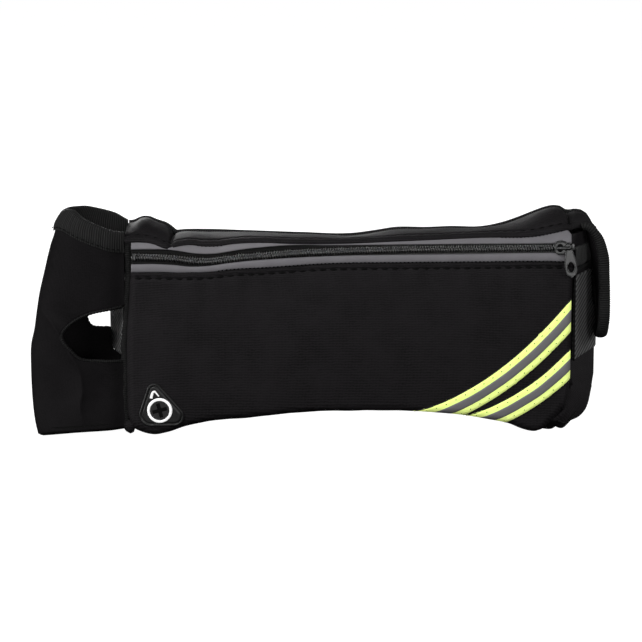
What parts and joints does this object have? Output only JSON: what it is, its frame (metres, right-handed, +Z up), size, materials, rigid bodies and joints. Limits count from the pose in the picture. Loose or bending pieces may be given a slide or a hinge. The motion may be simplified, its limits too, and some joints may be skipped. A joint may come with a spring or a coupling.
{
  "type": "waist pack",
  "caption": "Running waist pack with a zipped pouch, a neoprene bottle sleeve, an earphone port, a side flap and an elastic belt with a side-release buckle.",
  "frame": {"origin": "on the surface that the pack stands on, under the middle of its bounding box", "axes": "+X to the viewer's right along the pouch, +Y back towards the wearer, +Z up"},
  "size_m": [0.34, 0.0958, 0.1308],
  "materials": {
    "neoprene": "black knitted polyester over neoprene foam",
    "rib_elastic": "ribbed black elastic",
    "binding": "black grosgrain and overlocked edge",
    "reflective_grey": "grey reflective coated fabric",
    "silver_film": "silver reflective film",
    "fluorescent_yellow": "fluorescent yellow woven ribbon",
    "coil_nylon": "black nylon coil",
    "zip_tape": "black woven zip tape",
    "zip_metal": "gunmetal lacquered zinc",
    "port_rubber": "soft black moulded rubber",
    "ring_white": "white moulded ring",
    "webbing": "black twill elastic webbing",
    "buckle_plastic": "black acetal, fine texture",
    "hook_tape": "black hook tape"
  },
  "bodies": {
    "pack": {"front_panel": "neoprene", "back_panel": "neoprene", "top_panel": "neoprene", "bottom_gusset": "neoprene", "left_gusset": "neoprene", "right_gusset": "neoprene", "bottle_sleeve": "neoprene", "sleeve_base": "neoprene", "sleeve_hem": "rib_elastic", "gusset_elastic_band": "rib_elastic", "left_seam_binding": "binding", "welt_upper": "reflective_grey", "welt_lower": "reflective_grey", "silver_strip_upper": "silver_film", "silver_strip_lower": "silver_film", "yellow_tape_upper": "fluorescent_yellow", "yellow_tape_lower": "fluorescent_yellow", "zip_coil_upper": "coil_nylon", "zip_coil_lower": "coil_nylon", "zip_tape_upper": "zip_tape", "zip_tape_lower": "zip_tape", "zip_end_stops": "zip_metal", "earphone_port": "port_rubber", "earphone_ring": "ring_white", "belt_strap_left": "webbing", "belt_strap_right": "webbing", "buckle_female": "buckle_plastic"},
    "zip_slider": {"zip_slider": "zip_metal"},
    "pull_tab": {"pull_tab": "zip_metal"},
    "side_flap": {"side_flap": "neoprene", "flap_binding": "binding", "flap_hook_tape": "hook_tape"},
    "buckle_male": {"buckle_male": "buckle_plastic"},
    "latch_arm_upper": {"latch_arm_upper": "buckle_plastic"},
    "latch_arm_lower": {"latch_arm_lower": "buckle_plastic"},
    "strap_keeper": {"strap_keeper": "buckle_plastic"}
  },
  "joints": [
    {"name": "zip_slide", "type": "slide", "parent": "pack", "child": "zip_slider", "axis": [-0.9997, 0, -0.0227], "range_m": [0, 0.24]},
    {"name": "pull_swing", "type": "hinge", "parent": "zip_slider", "child": "pull_tab", "pos_m": [0.14376, -0.0455, 0.11326], "axis": [0, -1, 0], "range_deg": [-45, 85]},
    {"name": "flap_lift", "type": "hinge", "parent": "pack", "child": "side_flap", "pos_m": [0.161, -0.01155, 0.12325], "axis": [0, -1, 0], "range_deg": [0, 100]},
    {"name": "buckle_release", "type": "slide", "parent": "pack", "child": "buckle_male", "axis": [1, 0, 0], "range_m": [0, 0.03], "deforming": ["belt_strap_right"]},
    {"name": "latch_upper_squeeze", "type": "hinge", "parent": "buckle_male", "child": "latch_arm_upper", "pos_m": [0.0294, 0.04245, 0.086], "axis": [0, -1, 0], "range_deg": [0, 5], "stiffness_Nm_per_rad": 0.3},
    {"name": "latch_lower_squeeze", "type": "hinge", "parent": "buckle_male", "child": "latch_arm_lower", "pos_m": [0.0294, 0.04245, 0.056], "axis": [0, 1, 0], "range_deg": [0, 5], "stiffness_Nm_per_rad": 0.3},
    {"name": "keeper_slide", "type": "slide", "parent": "pack", "child": "strap_keeper", "axis": [1, 0, 0], "range_m": [-0.018, 0.008]}
  ]
}
